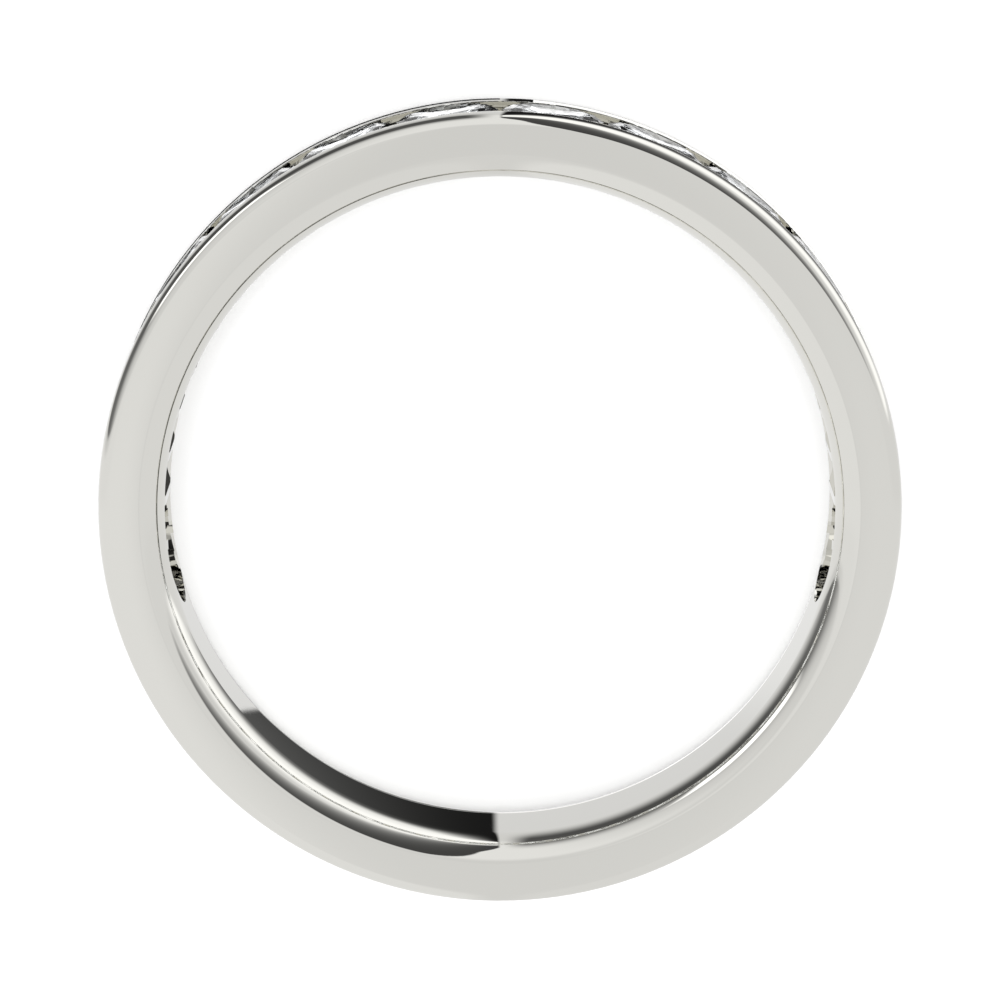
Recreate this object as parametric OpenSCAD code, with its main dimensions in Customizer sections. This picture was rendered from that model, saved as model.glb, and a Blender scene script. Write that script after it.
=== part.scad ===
// Wedding band with a row of round brilliant stones set in a channel.
// The ring lies on its side: its axis is +Z, the side face that it rests on is at z = 0,
// and the middle of the row of stones points along +Y.

/* [Band] */
// Inner diameter, which is the finger size
inner_d = 17.35; // [17.05:0.05:18.2]
// Thickness of the band between the inner and the outer wall
band_t = 1.725; // [1.7:0.005:1.8]
// Width of the band along the finger
band_w = 3.7; // [3.6:0.05:4.4]
// Radius of the outer corners
corner_r = 0.3; // [0.2:0.01:0.32]
// Radius of the rails' gently rounded tops
rail_round_r = 0.92; // [0.6:0.02:0.96]
// Angle over which the rails' tops are rounded before the corners begin
rail_round_a = 15; // [10:0.5:16]

/* [Inner edge] */
// Reach of the inner rounding across each side face, from the inner wall
round_reach = 0.667; // [0.6:0.01:0.75]
// Distance of the rounding's seam line from the inner wall
seam_out = 0.105; // [0.08:0.005:0.14]
// Depth of the rounding's seam line below the side face
seam_deep = 0.371; // [0.32:0.005:0.42]

/* [Stones] */
// Number of stones in the row, an even number
stone_count = 14; // [6:2:16]
// Angle between neighbouring stones
stone_pitch = 15.4; // [15.2:0.1:16.2]
// Diameter of a stone at its girdle
stone_d = 2.66; // [2.5:0.02:2.66]
// Width of the table as a share of the diameter
table_share = 0.69; // [0.64:0.01:0.69]
// Slope of the crown's main facets
crown_slope = 22; // [21:0.5:30]
// Slope of the pavilion's main facets
pavilion_slope = 41; // [40:0.25:41]
// Thickness of the girdle
girdle_t = 0.07; // [0.03:0.01:0.08]
// Depth of the tables below the band's outer wall
table_deep = 0.035; // [0.03:0.005:0.06]

/* [Channel] */
// Width of the channel's mouth between the rails
mouth_w = 2.14; // [2.08:0.02:2.2]
// How far the rails' inner edges lie below the outer wall
rail_drop = 0.026; // [0.015:0.001:0.035]
// Width over which the rails' tops slope down to the mouth
rail_slope_w = 0.31; // [0.25:0.01:0.36]
// Gap between the stones and the metal around them
clearance = 0.03; // [0.02:0.005:0.04]
// Width between the ledges that carry the stones
ledge_w = 2.1; // [2:0.05:2.2]
// Radial thickness of the ledges
ledge_t = 0.2; // [0.1:0.02:0.24]
// Width of the windows at the inner wall
window_w = 2.36; // [2.26:0.02:2.4]
// Flare of the windows' long walls, in degrees
window_flare = 4; // [2:0.5:6]
// Width of the cross-bars between the windows
bar_w = 0.24; // [0.2:0.01:0.3]
// Radial thickness of the cross-bars
bar_t = 0.475; // [0.3:0.005:0.48]

/* [Hidden] */
inner_r = inner_d / 2;
outer_r = inner_r + band_t;
mid_z = band_w / 2;
stone_r = stone_d / 2;
table_r = stone_r * table_share;

// Radii, from the ring's axis, of the levels of a stone in its seat
table_level = outer_r - table_deep;
girdle_top = table_level - (stone_r - table_r) * tan(crown_slope);
girdle_bottom = girdle_top - girdle_t;
culet_level = girdle_bottom - stone_r * tan(pavilion_slope);

// The corners where two main facets meet, in the crown beside a star facet and in the pavilion
star_r = (table_r + stone_r) / 2;
star_level = girdle_top + (stone_r - star_r * cos(22.5)) * tan(crown_slope);
half_r = 0.24 * stone_r;
half_level = girdle_bottom - (stone_r - half_r * cos(22.5)) * tan(pavilion_slope);

// The channel's half widths, and the level of the ledge under the girdles
mouth_h = mouth_w / 2;
// The lips' underside at the mouth, clear of the star facets' middles
star_fall = (table_level - star_level) / (star_r - table_r * cos(22.5));
lip_level = table_level - (mouth_h - table_r * cos(22.5)) * star_fall + clearance;
groove_h = stone_r + clearance;
ledge_h = ledge_w / 2;
window_h = window_w / 2;
ledge_level = girdle_bottom - (stone_r - ledge_h) * tan(pavilion_slope) - clearance;
bar_top = inner_r + bar_t;
// The windows are narrowest at the tops of the cross-bars
window_top_h = window_h - bar_t * tan(window_flare);

// The cross-bars lie half way between each stone's middle and the ends of its seat
bar_pitch = stone_pitch / 2;
bar_angle = bar_w / inner_r * 180 / PI;
end_stone = (stone_count - 1) / 2 * stone_pitch;
// How much wider the channel is than its round ends, on each side
end_step = 0.01;
// How far the cutting shapes reach past what they cut
margin = 1;

function stone_name(i) = str("stone_", i < 10 ? "0" : "", i);
// Angle of stone i from the middle of the row, where negative is to the left
function stone_angle(i) = (i - (stone_count + 1) / 2) * stone_pitch;

// Places its children at an angle from +Y, with their own +Z pointing out of the ring
module on_ring(angle) {
    rotate([0, 0, -angle])
        translate([0, 0, mid_z])
            rotate([-90, 0, 0])
                children();
}

// Revolves a flat outline of radius against height through the sector between two angles from +Y
module sector(from, to) {
    rotate_extrude(angle = to - from, start = 90 - to, $fn = 360)
        children();
}

// Cuts a side face's outer corner away, round the whole ring. It is two arcs that meet without
// a corner: the rail's gently rounded top, and the tighter corner between it and the side face.
module outer_rounding() {
    apart = rail_round_r - corner_r;
    // Centre of the tighter arc, its reach across the side face and where the gentle arc begins
    corner_out = outer_r - rail_round_r + apart * cos(rail_round_a);
    top_deep = corner_r + apart * sin(rail_round_a);
    // Where the two arcs meet
    joint_deep = top_deep - rail_round_r * sin(rail_round_a);

    rotate_extrude($fn = 360)
        difference() {
            translate([corner_out, -margin])
                square([outer_r - corner_out + margin, joint_deep + margin]);
            translate([corner_out, corner_r])
                circle(corner_r, $fn = 96);
        }
    rotate_extrude($fn = 360)
        difference() {
            translate([corner_out, joint_deep])
                square([outer_r - corner_out + margin, top_deep - joint_deep]);
            translate([outer_r - rail_round_r, top_deep])
                circle(rail_round_r, $fn = 240);
        }
}

// Cuts a side face's inner rounding away, round the whole ring.
// The rounding is two arcs that meet at the seam line without a corner.
module inner_rounding() {
    across = round_reach - seam_out;
    // Radius of the arc between the side face and the seam line
    face_arc = (across * across + seam_deep * seam_deep) / (2 * seam_deep);
    seam_slope = asin(across / face_arc);
    // Radius of the arc between the seam line and the inner wall
    wall_arc = seam_out / (1 - sin(seam_slope));
    wall_deep = seam_deep + wall_arc * cos(seam_slope);

    rotate_extrude($fn = 360)
        difference() {
            translate([inner_r - margin, -margin])
                square([round_reach + margin, seam_deep + margin]);
            translate([inner_r + round_reach, face_arc])
                circle(face_arc, $fn = 96);
        }
    rotate_extrude($fn = 360)
        difference() {
            translate([inner_r - margin, seam_deep])
                square([wall_arc + margin, wall_deep - seam_deep]);
            translate([inner_r + wall_arc, wall_deep])
                circle(wall_arc, $fn = 160);
        }
}

// The hoop before its channel is cut
module hoop() {
    difference() {
        rotate_extrude($fn = 360)
            translate([inner_r, 0])
                square([band_t, band_w]);
        side_rounding();
        translate([0, 0, band_w])
            mirror([0, 0, 1])
                side_rounding();
    }
}

module side_rounding() {
    outer_rounding();
    inner_rounding();
}

// Half of the outline of a stone's seat, from the outside in: a level, then the half width there.
// The lip covers the crown, the groove holds the girdle and the ledge carries the pavilion.
function seat_outline(spare) = [
    [lip_level, mouth_h + spare],
    [star_level + clearance, star_r + clearance + spare],
    [girdle_top + clearance, groove_h + spare],
    [girdle_bottom - clearance, groove_h + spare],
    [ledge_level, ledge_h + spare],
    [ledge_level - ledge_t, ledge_h + spare],
    [ledge_level - ledge_t - (window_top_h - ledge_h), window_top_h + spare],
    [bar_top, window_top_h + spare],
];

// Half width of a window at a level below the tops of the cross-bars
function flared(level) = window_top_h + (bar_top - level) * tan(window_flare);

// The channel follows the ring between the middles of the two end stones.
// The rails' tops slope down to its mouth, and the cross-bars are its floor.
module channel() {
    slope_run = rail_slope_w / rail_drop;
    half = concat(
        [
            [outer_r + margin, mouth_h + end_step + (rail_drop + margin) * slope_run],
            [outer_r - rail_drop, mouth_h + end_step],
        ],
        seat_outline(end_step)
    );
    upper = [for (p = half) [p[0], mid_z + p[1]]];
    lower = [for (i = [len(half) - 1 : -1 : 0]) [half[i][0], mid_z - half[i][1]]];
    sector(-end_stone, end_stone)
        polygon(concat(upper, lower));
}

// Each end of the channel is round, like the stone in it, and goes right through the band.
// The slope round its mouth is a little steeper than the rails' and fades into the outer wall.
module end_seat() {
    half = seat_outline(0);
    mouth_slope = 1.25 * rail_drop / rail_slope_w;
    rotate_extrude($fn = 120)
        polygon(concat(
            [
                [0, outer_r + margin],
                [mouth_h + rail_slope_w, outer_r + margin],
                [mouth_h + rail_slope_w, outer_r - rail_drop + rail_slope_w * mouth_slope],
                [mouth_h, outer_r - rail_drop],
            ],
            [for (p = half) [p[1], p[0]]],
            [[flared(inner_r - margin), inner_r - margin], [0, inner_r - margin]]
        ));
}

// Windows in the inner wall, with a cross-bar left between each two. They are as wide as the
// channel at the bars' tops, and flare towards the finger.
module windows() {
    low = inner_r - margin;
    high = bar_top + 0.1 * margin;
    last_bar = (stone_count - 1.5) * bar_pitch;
    edges = [for (k = [0 : 2 * stone_count - 3]) -last_bar + k * bar_pitch];
    starts = concat([-end_stone], [for (a = edges) a + bar_angle / 2]);
    ends = concat([for (a = edges) a - bar_angle / 2], [end_stone]);
    for (k = [0 : len(starts) - 1])
        sector(starts[k], ends[k])
            polygon([
                [low, mid_z - flared(low) - end_step],
                [high, mid_z - flared(high) - end_step],
                [high, mid_z + flared(high) + end_step],
                [low, mid_z + flared(low) + end_step],
            ]);
}

module band() {
    color("silver")
        difference() {
            hoop();
            channel();
            for (side = [-1, 1])
                on_ring(side * end_stone)
                    end_seat();
            windows();
        }
}

// Eight corners at one level of a stone, the first of them turned from the stone's own +X
function corners(radius, level, turn) = [
    for (k = [0 : 7]) [radius * cos(45 * k + turn), radius * sin(45 * k + turn), level]
];

// A round brilliant cut: a table, 8 star, 8 main and 16 half facets in the crown, a girdle,
// and 16 half and 8 main facets that meet at the culet. It is the hull of its own corners.
module brilliant() {
    points = concat(
        corners(table_r, table_level, 0),
        corners(star_r, star_level, 22.5),
        corners(stone_r, girdle_top, 0),
        corners(stone_r, girdle_top, 22.5),
        corners(stone_r, girdle_bottom, 0),
        corners(stone_r, girdle_bottom, 22.5),
        corners(half_r, half_level, 22.5),
        [[0, 0, culet_level]]
    );
    hull()
        polyhedron(points, [[for (i = [0 : len(points) - 1]) i]]);
}

module stone(i) {
    color("aliceblue")
        on_ring(stone_angle(i))
            brilliant();
}

band();
for (i = [1 : stone_count])
    stone(i);
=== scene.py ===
"""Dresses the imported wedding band: a polished white gold band with a row of round brilliant
stones in its channel, lying on its side on a pale floor under soft studio light.

The ring's axis is +Z, and the middle of its row of stones points along +Y.
"""

import math

import bmesh
import bpy
from mathutils import Matrix, Vector


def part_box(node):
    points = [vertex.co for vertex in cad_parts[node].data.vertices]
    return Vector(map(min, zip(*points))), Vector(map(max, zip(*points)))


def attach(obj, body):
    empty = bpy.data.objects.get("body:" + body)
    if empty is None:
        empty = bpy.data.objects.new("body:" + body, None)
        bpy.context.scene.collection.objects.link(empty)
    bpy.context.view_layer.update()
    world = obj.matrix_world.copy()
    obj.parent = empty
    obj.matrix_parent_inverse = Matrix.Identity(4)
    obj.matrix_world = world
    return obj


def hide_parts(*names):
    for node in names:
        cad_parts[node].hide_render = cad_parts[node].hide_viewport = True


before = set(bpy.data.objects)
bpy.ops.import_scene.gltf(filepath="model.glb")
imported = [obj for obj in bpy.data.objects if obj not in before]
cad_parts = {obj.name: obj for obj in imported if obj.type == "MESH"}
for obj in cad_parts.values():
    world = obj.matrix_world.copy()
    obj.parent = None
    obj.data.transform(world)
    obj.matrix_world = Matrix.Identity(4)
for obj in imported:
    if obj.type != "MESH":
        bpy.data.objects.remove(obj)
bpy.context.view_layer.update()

MM = 0.001

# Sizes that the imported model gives
band_low, band_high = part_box("band")
outer_r = band_high.x
band_w = band_high.z
mid_z = band_w / 2
stone_names = sorted(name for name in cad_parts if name.startswith("stone_"))

# Band, in the same driving sizes as its source
inner_r = 8.675 * MM
corner_r = 0.3 * MM
rail_round_r = 0.92 * MM
rail_round_a = math.radians(15)
round_reach = 0.667 * MM
seam_out = 0.105 * MM
seam_deep = 0.371 * MM

# Stones and channel
stone_pitch = math.radians(15.4)
end_stone = (len(stone_names) - 1) / 2 * stone_pitch
stone_r = 1.33 * MM
table_r = 0.69 * stone_r
crown_slope = math.radians(22)
pavilion_slope = math.radians(41)
girdle_t = 0.07 * MM
table_deep = 0.035 * MM
mouth_h = 1.07 * MM
rail_drop = 0.026 * MM
rail_slope_w = 0.31 * MM
clearance = 0.03 * MM
ledge_h = 1.05 * MM
ledge_t = 0.2 * MM
window_h = 1.18 * MM
window_flare = math.radians(4)
bar_pitch = stone_pitch / 2
bar_w = 0.24 * MM
bar_t = 0.475 * MM
end_step = 0.01 * MM
margin = 1 * MM

# Levels of a stone in its seat, as radii from the ring's axis
table_level = outer_r - table_deep
girdle_top = table_level - (stone_r - table_r) * math.tan(crown_slope)
girdle_bottom = girdle_top - girdle_t
star_r = (table_r + stone_r) / 2
half_turn = math.radians(22.5)
star_level = girdle_top + (stone_r - star_r * math.cos(half_turn)) * math.tan(crown_slope)
table_flat = table_r * math.cos(half_turn)
star_fall = (table_level - star_level) / (star_r - table_flat)
lip_level = table_level - (mouth_h - table_flat) * star_fall + clearance
ledge_level = girdle_bottom - (stone_r - ledge_h) * math.tan(pavilion_slope) - clearance
bar_top = inner_r + bar_t
window_top_h = window_h - bar_t * math.tan(window_flare)

# Fineness of the band's mesh
hoop_steps = 480
seat_steps = 128
wall_steps = 10
face_steps = 24
corner_steps = 24
rail_steps = 10
merge_dist = 1e-7
sharp_angle = math.radians(4.5)

# Brightness in the studio, where 1 is white
room_light = 0.765
left_gain = 0.1
right_gain = 0.04
front_gain = 0.025
behind_gain = 0.17
small_lamp = 1.6
stone_gain = 0.7


# Outlines, drawn in the XZ plane as radius against height


def everything(bm):
    """All corners, edges and faces of a mesh."""
    return bm.verts[:] + bm.edges[:] + bm.faces[:]


def start_at(bm, r, z):
    """Puts an outline's first point down."""
    return bmesh.ops.create_vert(bm, co=(r, 0, z))["vert"][0]


def line_to(bm, point, r, z):
    """Draws a straight edge on from a point and returns its end."""
    end = bmesh.ops.extrude_vert_indiv(bm, verts=[point])["verts"][0]
    end.co = (r, 0, z)
    return end


def arc_to(bm, point, centre_r, centre_z, angle, steps):
    """Draws an arc on from a point, round a centre, and returns its end."""
    turned = bmesh.ops.spin(
        bm, geom=[point], cent=(centre_r, 0, centre_z), axis=(0, 1, 0), angle=angle, steps=steps
    )
    return next(part for part in turned["geom_last"] if isinstance(part, bmesh.types.BMVert))


def closed_outline(bm, corners):
    """Draws a closed outline through corners of radius and height, and fills it."""
    first = point = start_at(bm, *corners[0])
    for r, z in corners[1:]:
        point = line_to(bm, point, r, z)
    bm.edges.new((point, first))
    bmesh.ops.contextual_create(bm, geom=bm.edges[:])


def finish_mesh(bm, name):
    """Merges a mesh's doubles, turns its faces outwards and makes an object of it."""
    bmesh.ops.remove_doubles(bm, verts=bm.verts[:], dist=merge_dist)
    bmesh.ops.recalc_face_normals(bm, faces=bm.faces[:])
    mesh = bpy.data.meshes.new(name)
    bm.to_mesh(mesh)
    bm.free()
    made = bpy.data.objects.new(name, mesh)
    bpy.context.scene.collection.objects.link(made)
    return made


# Band


def hoop():
    """The hoop before its channel is cut: half its section, mirrored and spun round the axis."""
    across = round_reach - seam_out
    face_arc = (across**2 + seam_deep**2) / (2 * seam_deep)
    seam_slope = math.asin(across / face_arc)
    wall_arc = seam_out / (1 - math.sin(seam_slope))
    wall_deep = seam_deep + wall_arc * math.cos(seam_slope)
    apart = rail_round_r - corner_r
    corner_out = outer_r - rail_round_r + apart * math.cos(rail_round_a)
    top_deep = corner_r + apart * math.sin(rail_round_a)

    # The lower half of the section, with heights counted from the middle of the band
    bm = bmesh.new()
    point = start_at(bm, inner_r, 0)
    point = line_to(bm, point, inner_r, wall_deep - mid_z)
    turn = seam_slope - math.pi / 2
    point = arc_to(bm, point, inner_r + wall_arc, wall_deep - mid_z, turn, wall_steps)
    point = arc_to(bm, point, inner_r + round_reach, face_arc - mid_z, -seam_slope, face_steps)
    point = line_to(bm, point, corner_out, -mid_z)
    turn = rail_round_a - math.pi / 2
    point = arc_to(bm, point, corner_out, corner_r - mid_z, turn, corner_steps)
    rail_centre = outer_r - rail_round_r
    point = arc_to(bm, point, rail_centre, top_deep - mid_z, -rail_round_a, rail_steps)
    line_to(bm, point, outer_r, 0)
    bmesh.ops.mirror(bm, geom=bm.verts[:] + bm.edges[:], merge_dist=merge_dist, axis="Z")
    bmesh.ops.translate(bm, verts=bm.verts[:], vec=(0, 0, mid_z))
    spin_round(bm, hoop_steps)
    return finish_mesh(bm, "white_gold_band")


def spin_round(bm, steps):
    """Spins an outline once round the axis: a sixteenth of the turn, doubled four times."""
    bmesh.ops.spin(
        bm, geom=everything(bm), axis=(0, 0, 1), angle=math.tau / 16, steps=steps // 16
    )
    for parts in (16, 8, 4, 2):
        copied = bmesh.ops.duplicate(bm, geom=everything(bm))["geom"]
        bmesh.ops.rotate(
            bm,
            verts=[part for part in copied if isinstance(part, bmesh.types.BMVert)],
            matrix=Matrix.Rotation(math.tau / parts, 3, "Z"),
        )


def sweep(corners, start, end, name):
    """Sweeps an outline of radius and height round the axis, between two angles from +Y."""
    bm = bmesh.new()
    closed_outline(bm, corners)
    bmesh.ops.rotate(bm, verts=bm.verts[:], matrix=Matrix.Rotation(math.pi / 2 - start, 3, "Z"))
    steps = max(2, round((end - start) / math.tau * hoop_steps))
    bmesh.ops.spin(bm, geom=everything(bm), axis=(0, 0, 1), angle=start - end, steps=steps)
    return finish_mesh(bm, name)


def seat_outline(spare):
    """Half of the outline of a stone's seat: a level and the half width there, from outside in."""
    return [
        (lip_level, mouth_h + spare),
        (star_level + clearance, star_r + clearance + spare),
        (girdle_top + clearance, stone_r + clearance + spare),
        (girdle_bottom - clearance, stone_r + clearance + spare),
        (ledge_level, ledge_h + spare),
        (ledge_level - ledge_t, ledge_h + spare),
        (ledge_level - ledge_t - (window_top_h - ledge_h), window_top_h + spare),
        (bar_top, window_top_h + spare),
    ]


def flared(level):
    """Half width of a window at a level below the tops of the cross-bars."""
    return window_top_h + (bar_top - level) * math.tan(window_flare)


def channel():
    """The channel between the middles of the two end stones."""
    slope_run = rail_slope_w / rail_drop
    half = [
        (outer_r + margin, mouth_h + end_step + (rail_drop + margin) * slope_run),
        (outer_r - rail_drop, mouth_h + end_step),
        *seat_outline(end_step),
    ]
    corners = [(r, mid_z + h) for r, h in half] + [(r, mid_z - h) for r, h in reversed(half)]
    return sweep(corners, -end_stone, end_stone, "channel_cut")


def end_seat(angle):
    """The round seat at one end of the channel, which goes right through the band."""
    mouth_slope = 1.25 * rail_drop / rail_slope_w
    half = [
        (outer_r + margin, 0),
        (outer_r + margin, mouth_h + rail_slope_w),
        (outer_r - rail_drop + rail_slope_w * mouth_slope, mouth_h + rail_slope_w),
        (outer_r - rail_drop, mouth_h),
        *seat_outline(0),
        (inner_r - margin, flared(inner_r - margin)),
        (inner_r - margin, 0),
    ]
    bm = bmesh.new()
    point = start_at(bm, half[0][1], half[0][0])
    for level, half_w in half[1:]:
        point = line_to(bm, point, half_w, level)
    spin_round(bm, seat_steps)
    outwards = Matrix.Rotation(-math.pi / 2, 4, "X")
    place = Matrix.Translation((0, 0, mid_z)) @ Matrix.Rotation(-angle, 4, "Z")
    bmesh.ops.transform(bm, matrix=place @ outwards, verts=bm.verts[:])
    return finish_mesh(bm, "end_seat_cut")


def windows():
    """Windows in the inner wall, with a cross-bar left between each two."""
    low = inner_r - margin
    high = bar_top + 0.1 * margin
    outline = [
        (low, mid_z - flared(low) - end_step),
        (high, mid_z - flared(high) - end_step),
        (high, mid_z + flared(high) + end_step),
        (low, mid_z + flared(low) + end_step),
    ]
    half_bar = bar_w / inner_r / 2
    last_bar = (len(stone_names) - 1.5) * bar_pitch
    bars = [k * bar_pitch - last_bar for k in range(2 * len(stone_names) - 2)]
    starts = [-end_stone] + [bar + half_bar for bar in bars]
    ends = [bar - half_bar for bar in bars] + [end_stone]
    return [sweep(outline, a, b, "window_cut") for a, b in zip(starts, ends)]


def cut(piece, cutters):
    """Cuts closed shapes out of a piece."""
    group = bpy.data.collections.new("cutters")
    bpy.context.scene.collection.children.link(group)
    for cutter in cutters:
        group.objects.link(cutter)
    tool = piece.modifiers.new("cut", "BOOLEAN")
    tool.operation = "DIFFERENCE"
    tool.solver = "MANIFOLD"
    tool.operand_type = "COLLECTION"
    tool.collection = group
    apply_modifiers(piece)
    for cutter in cutters:
        bpy.data.objects.remove(cutter)
    bpy.data.collections.remove(group)


def apply_modifiers(piece):
    """Makes what a piece's modifiers show its own mesh."""
    view = bpy.context.evaluated_depsgraph_get()
    shown = bpy.data.meshes.new_from_object(piece.evaluated_get(view), depsgraph=view)
    piece.modifiers.clear()
    piece.data = shown


def shade(piece):
    """Smooths a piece's faces, keeps its edges crisp and lets its wide faces stay flat."""
    bm = bmesh.new()
    bm.from_mesh(piece.data)
    for face in bm.faces:
        face.smooth = True
    for edge in bm.edges:
        edge.smooth = edge.is_manifold and edge.calc_face_angle() < sharp_angle
    bm.to_mesh(piece.data)
    bm.free()
    weighted = piece.modifiers.new("weighted", "WEIGHTED_NORMAL")
    weighted.keep_sharp = True
    weighted.weight = 100
    apply_modifiers(piece)


def build_band():
    """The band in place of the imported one, with its channel, its round ends and its windows."""
    band = hoop()
    cut(band, [channel()])
    cut(band, [end_seat(-end_stone)])
    cut(band, [end_seat(end_stone)])
    cut(band, windows())
    shade(band)
    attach(band, "root")
    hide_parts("band")
    return band


# Shader nodes


def add_node(tree, kind, **settings):
    """Adds a node to a shader, with its settings."""
    node = tree.nodes.new(kind)
    for name, value in settings.items():
        setattr(node, name, value)
    return node


def feed(tree, socket, value):
    """Sets an input to a number, or joins it to another node's output."""
    if isinstance(value, bpy.types.NodeSocket):
        tree.links.new(value, socket)
    else:
        socket.default_value = value


def maths(tree, operation, *values):
    """Works out one step of a sum on numbers or sockets."""
    node = add_node(tree, "ShaderNodeMath", operation=operation)
    for socket, value in zip(node.inputs, values):
        feed(tree, socket, value)
    return node.outputs[0]


def product(tree, first, *others):
    """Multiplies any count of values."""
    result = first
    for other in others:
        result = maths(tree, "MULTIPLY", result, other)
    return result


def total(tree, first, *others):
    """Adds any count of values."""
    result = first
    for other in others:
        result = maths(tree, "ADD", result, other)
    return result


def ramp(tree, value, none, full, low=0.0, high=1.0):
    """Goes smoothly from low, where the value is none, to high, where it is full."""
    node = add_node(tree, "ShaderNodeMapRange", interpolation_type="SMOOTHSTEP")
    for name, number in (
        ("Value", value),
        ("From Min", none),
        ("From Max", full),
        ("To Min", low),
        ("To Max", high),
    ):
        feed(tree, node.inputs[name], number)
    return node.outputs["Result"]


def blend(tree, share, first, second):
    """Mixes two brightnesses: all of the first at a share of 0, all of the second at 1."""
    node = add_node(tree, "ShaderNodeMix", data_type="FLOAT")
    feed(tree, node.inputs["Factor"], share)
    feed(tree, node.inputs["A"], first)
    feed(tree, node.inputs["B"], second)
    return node.outputs["Result"]


# Materials


def paint(piece, material):
    """Gives a piece one material alone."""
    piece.data.materials.clear()
    piece.data.materials.append(material)


def new_material(name):
    """Makes a material and returns it with its nodes and its shader."""
    material = bpy.data.materials.new(name)
    material.use_nodes = True
    return material, material.node_tree, material.node_tree.nodes["Principled BSDF"]


def polished_white_gold():
    """Mirror polish, with a faint unevenness and the hairlines that the polishing wheel leaves."""
    material, tree, shader = new_material("white_gold")
    shader.inputs["Base Color"].default_value = (0.800, 0.792, 0.752, 1)
    shader.inputs["Metallic"].default_value = 1
    place = add_node(tree, "ShaderNodeTexCoord").outputs["Object"]

    uneven = add_node(tree, "ShaderNodeTexNoise")
    feed(tree, uneven.inputs["Vector"], place)
    uneven.inputs["Scale"].default_value = 700
    uneven.inputs["Detail"].default_value = 3
    feed(tree, shader.inputs["Roughness"], ramp(tree, uneven.outputs["Fac"], 0.3, 0.7, 0.01, 0.03))

    hairlines = add_node(tree, "ShaderNodeTexNoise")
    stretch = add_node(tree, "ShaderNodeMapping")
    stretch.inputs["Scale"].default_value = (1, 1, 9)
    feed(tree, stretch.inputs["Vector"], place)
    feed(tree, hairlines.inputs["Vector"], stretch.outputs["Vector"])
    hairlines.inputs["Scale"].default_value = 2500
    hairlines.inputs["Detail"].default_value = 4
    bump = add_node(tree, "ShaderNodeBump")
    bump.inputs["Strength"].default_value = 0.1
    bump.inputs["Distance"].default_value = 0.002 * MM
    feed(tree, bump.inputs["Height"], hairlines.outputs["Fac"])
    feed(tree, shader.inputs["Normal"], bump.outputs["Normal"])
    return material


def cut_stone():
    """A colourless stone with a faint cool tint that comes and goes."""
    material, tree, shader = new_material("stone")
    shader.inputs["Transmission Weight"].default_value = 1
    shader.inputs["IOR"].default_value = 2.417
    shader.inputs["Roughness"].default_value = 0
    place = add_node(tree, "ShaderNodeTexCoord").outputs["Object"]
    cloud = add_node(tree, "ShaderNodeTexNoise")
    feed(tree, cloud.inputs["Vector"], place)
    cloud.inputs["Scale"].default_value = 900
    tint = add_node(tree, "ShaderNodeMix", data_type="RGBA")
    feed(tree, tint.inputs["Factor"], cloud.outputs["Fac"])
    tint.inputs["A"].default_value = (1, 1, 1, 1)
    tint.inputs["B"].default_value = (0.93, 0.965, 1, 1)
    feed(tree, shader.inputs["Base Color"], tint.outputs["Result"])
    return material


# Studio


def build_floor():
    """A wide, plain pale floor under the ring. The polished metal mirrors the room instead of it."""
    bm = bmesh.new()
    bmesh.ops.create_grid(bm, x_segments=1, y_segments=1, size=300 * MM)
    floor = finish_mesh(bm, "floor")
    floor.location.z = -0.01 * MM
    floor.visible_glossy = False
    floor.visible_transmission = False
    material, tree, shader = new_material("floor")
    shader.inputs["Base Color"].default_value = (0.9, 0.9, 0.9, 1)
    shader.inputs["Roughness"].default_value = 0.9
    shader.inputs["Specular IOR Level"].default_value = 0
    floor.data.materials.append(material)


def card(name, inner, outer, level, start, turn, ahead, glow):
    """A narrow curved card under the floor, behind the row, that the far rail mirrors."""
    bm = bmesh.new()
    point = start_at(bm, inner, level)
    line_to(bm, point, outer, level)
    bmesh.ops.rotate(bm, verts=bm.verts[:], matrix=Matrix.Rotation(math.radians(start), 3, "Z"))
    angle = math.radians(turn)
    bmesh.ops.spin(bm, geom=everything(bm), axis=(0, 0, 1), angle=angle, steps=60)
    bmesh.ops.translate(bm, verts=bm.verts[:], vec=(0, ahead, 0))
    made = finish_mesh(bm, name)
    material, tree, shader = new_material(name)
    shader.inputs["Base Color"].default_value = (0, 0, 0, 1)
    shader.inputs["Roughness"].default_value = 1
    shader.inputs["Specular IOR Level"].default_value = 0
    shader.inputs["Emission Color"].default_value = (1, 1, 1, 1)
    shader.inputs["Emission Strength"].default_value = glow
    made.data.materials.append(material)


def rail_cards():
    """The far rail mirrors a white card to the right, and a dark one to the left."""
    card(
        "white_card",
        inner=10.8 * MM,
        outer=11.3 * MM,
        level=-2 * MM,
        start=85,
        turn=-72,
        ahead=0,
        glow=1.25,
    )
    card(
        "dark_card",
        inner=10.0 * MM,
        outer=10.48 * MM,
        level=-0.2 * MM,
        start=90,
        turn=75,
        ahead=0.14 * MM,
        glow=0.03,
    )


def floor_light():
    """A wide soft box overhead that lights the floor alone."""
    light = bpy.data.lights.new("floor_light", "AREA")
    light.size = 400 * MM
    light.energy = 2.1
    lamp = bpy.data.objects.new("floor_light", light)
    lamp.location = (0, 60 * MM, 400 * MM)
    lamp.visible_glossy = False
    lamp.visible_transmission = False
    bpy.context.scene.collection.objects.link(lamp)


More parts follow.
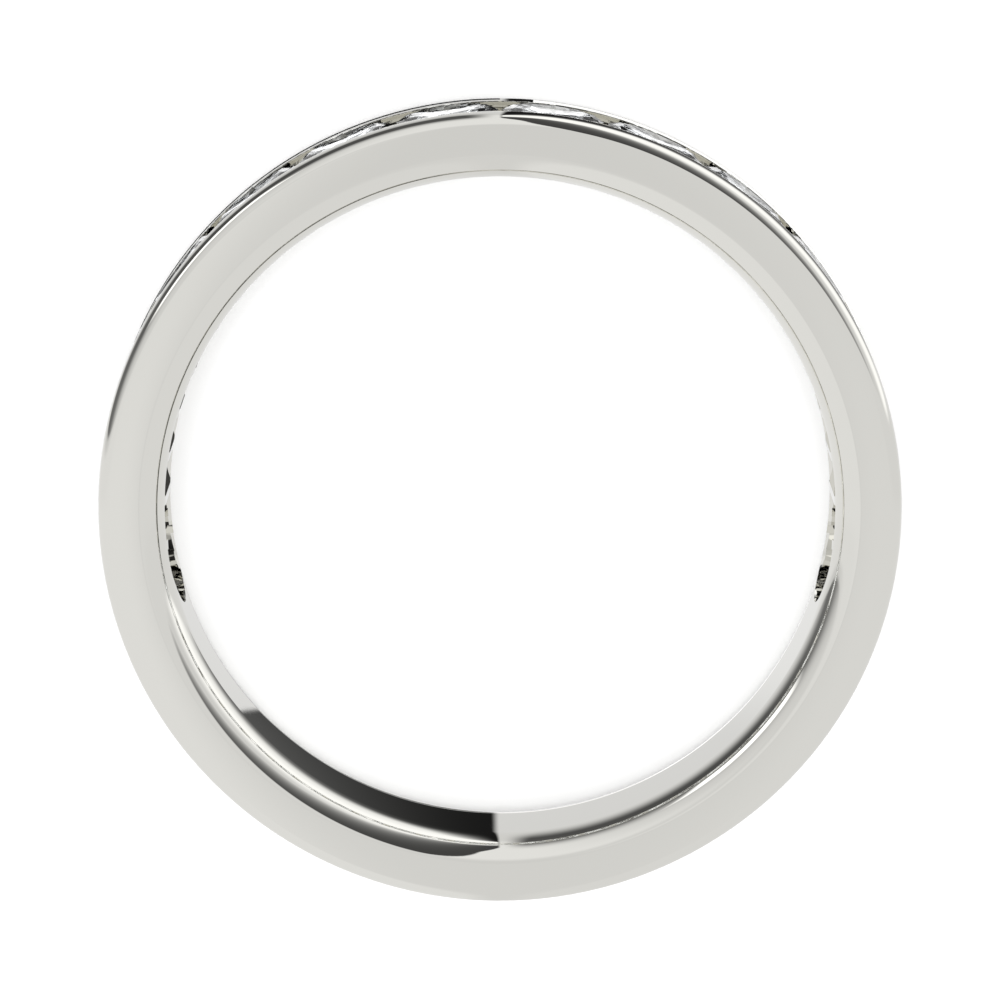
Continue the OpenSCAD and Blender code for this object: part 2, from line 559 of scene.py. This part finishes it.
def room(tree, x, y, z):
    """The pale room, a little lighter to the sides, in front, and behind the row of stones."""
    left = product(
        tree, ramp(tree, x, -0.01, -0.08, 0, left_gain), ramp(tree, y, 0.06, -0.06)
    )
    right = ramp(tree, x, 0.01, 0.08, 0, right_gain)
    front = ramp(tree, y, -0.13, -0.2, 0, front_gain)
    behind = product(
        tree,
        ramp(tree, y, 0, 0.3, 0, behind_gain),
        ramp(tree, z, -0.6, -0.1),
        ramp(tree, x, -0.55, -0.05),
    )
    return total(tree, room_light, left, right, front, behind)


def left_side(tree, x, y, z, plain):
    """To the left behind the row, the plain room has a low dark gap, with a small lamp over it."""
    top = maths(tree, "MULTIPLY_ADD", y, -0.45, 0.95)
    fade = ramp(tree, z, top, -0.1)
    under_lamp = product(tree, ramp(tree, z, 0.12, 0.02), ramp(tree, y, 0.33, 0.45))
    depth = total(
        tree,
        ramp(tree, y, -0.06, -0.02, 0, 0.15),
        ramp(tree, y, -0.01, 0.02, 0, 0.62),
        ramp(tree, y, 0, 0.6, 0, 0.12),
    )
    gap = product(
        tree,
        depth,
        maths(tree, "MAXIMUM", fade, under_lamp),
        ramp(tree, z, -0.97, -0.5),
        ramp(tree, x, -0.005, -0.1),
    )
    lamp = product(
        tree,
        ramp(tree, z, 0.08, 0.13),
        ramp(tree, z, 0.46, 0.38),
        ramp(tree, y, 0.28, 0.4),
        ramp(tree, y, 0.78, 0.7),
        ramp(tree, x, -0.2, -0.4),
    )
    dimmed = product(tree, plain, maths(tree, "SUBTRACT", 1, gap))
    return blend(tree, lamp, dimmed, small_lamp)


def right_side(tree, x, z):
    """To the right behind the row: a lamp near the horizon, which fades up into a dark screen and
    down into the dark under it."""
    height = maths(tree, "MAXIMUM", z, 0)
    slant = maths(tree, "DIVIDE", x, maths(tree, "ADD", height, 0.15))
    screen = maths(tree, "MULTIPLY_ADD", maths(tree, "MULTIPLY", slant, slant), 0.7, 0.06)
    screen = maths(tree, "ADD", screen, ramp(tree, z, 0.15, -0.05, 0, 1.3))
    low = ramp(tree, z, 0.5, -0.1, 0.75, 1.25)
    lamp = product(tree, low, ramp(tree, z, -0.8, -0.4, 0.75, 1))
    above = maths(tree, "MINIMUM", screen, lamp)

    under = maths(tree, "MULTIPLY_ADD", maths(tree, "MULTIPLY", x, x), 1.3, 0.012)
    drop = maths(tree, "ADD", maths(tree, "MAXIMUM", maths(tree, "SUBTRACT", -0.3, z), 0), 0.015)
    sideways = ramp(tree, maths(tree, "DIVIDE", x, drop), 0.05, 0.75)
    return blend(tree, product(tree, ramp(tree, z, -0.88, -0.64), sideways), under, above)


def studio(tree):
    """The light from every direction, where x goes right, y goes to the row and z goes up."""
    direction = add_node(tree, "ShaderNodeSeparateXYZ")
    feed(tree, direction.inputs[0], add_node(tree, "ShaderNodeTexCoord").outputs["Generated"])
    x, y, z = direction.outputs
    light = left_side(tree, x, y, z, room(tree, x, y, z))
    edge = maths(
        tree, "ADD", ramp(tree, z, 0.25, 0.75, 0.001, 0.055), ramp(tree, z, -0.3, -0.95, 0, 0.003)
    )
    behind = blend(
        tree, ramp(tree, z, -0.8, -0.9), ramp(tree, y, 0.03, 0.1), ramp(tree, y, 0.005, 0.015)
    )
    right = product(tree, ramp(tree, maths(tree, "SUBTRACT", x, edge), -0.004, 0.008), behind)
    light = blend(tree, right, light, right_side(tree, x, z))
    left_below = ramp(tree, z, -0.9965, -0.995, 0.8, 1.35)
    right_below = ramp(tree, z, -0.9965, -0.995, 0.03, 0.5)
    below = blend(tree, ramp(tree, x, 0, 0.01), left_below, right_below)
    return blend(tree, ramp(tree, z, -0.98, -0.988), light, below)


def build_world():
    """The metal mirrors the studio, the stones gather a brighter one, and the camera sees white."""
    world = bpy.data.worlds.new("studio")
    bpy.context.scene.world = world
    world.use_nodes = True
    tree = world.node_tree
    tree.nodes.clear()
    ray = add_node(tree, "ShaderNodeLightPath").outputs
    through_stone = maths(tree, "MULTIPLY_ADD", ray["Is Transmission Ray"], stone_gain, 1)
    strength = product(tree, studio(tree), through_stone)
    light = add_node(tree, "ShaderNodeBackground")
    feed(tree, light.inputs["Strength"], blend(tree, ray["Is Camera Ray"], strength, 1.0))
    light.inputs["Color"].default_value = (1, 1, 1, 1)
    output = add_node(tree, "ShaderNodeOutputWorld")
    feed(tree, output.inputs["Surface"], light.outputs["Background"])


# Camera


def aim_camera():
    """The camera looks down on the ring at the photograph's angle, from above its row of stones."""
    camera = bpy.data.objects.new("camera", bpy.data.cameras.new("camera"))
    bpy.context.scene.collection.objects.link(camera)
    bpy.context.scene.camera = camera
    camera.data.sensor_width = 36
    camera.data.lens = 188.7
    tilt = math.radians(10.95)
    above = 132.73 * MM
    ahead = 26.06 * MM
    forward = Vector((0, -math.sin(tilt), -math.cos(tilt)))
    up = Vector((0, math.cos(tilt), -math.sin(tilt)))
    camera.matrix_world = Matrix.Translation((0, ahead, band_w + above)) @ Matrix(
        (forward.cross(up), up, -forward)
    ).transposed().to_4x4()
    camera.data.clip_start = 1 * MM
    camera.data.clip_end = 2


band = build_band()
paint(band, polished_white_gold())
stone_look = cut_stone()
for name in stone_names:
    paint(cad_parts[name], stone_look)
build_floor()
rail_cards()
floor_light()
build_world()
aim_camera()
bpy.context.scene.view_settings.view_transform = "Standard"
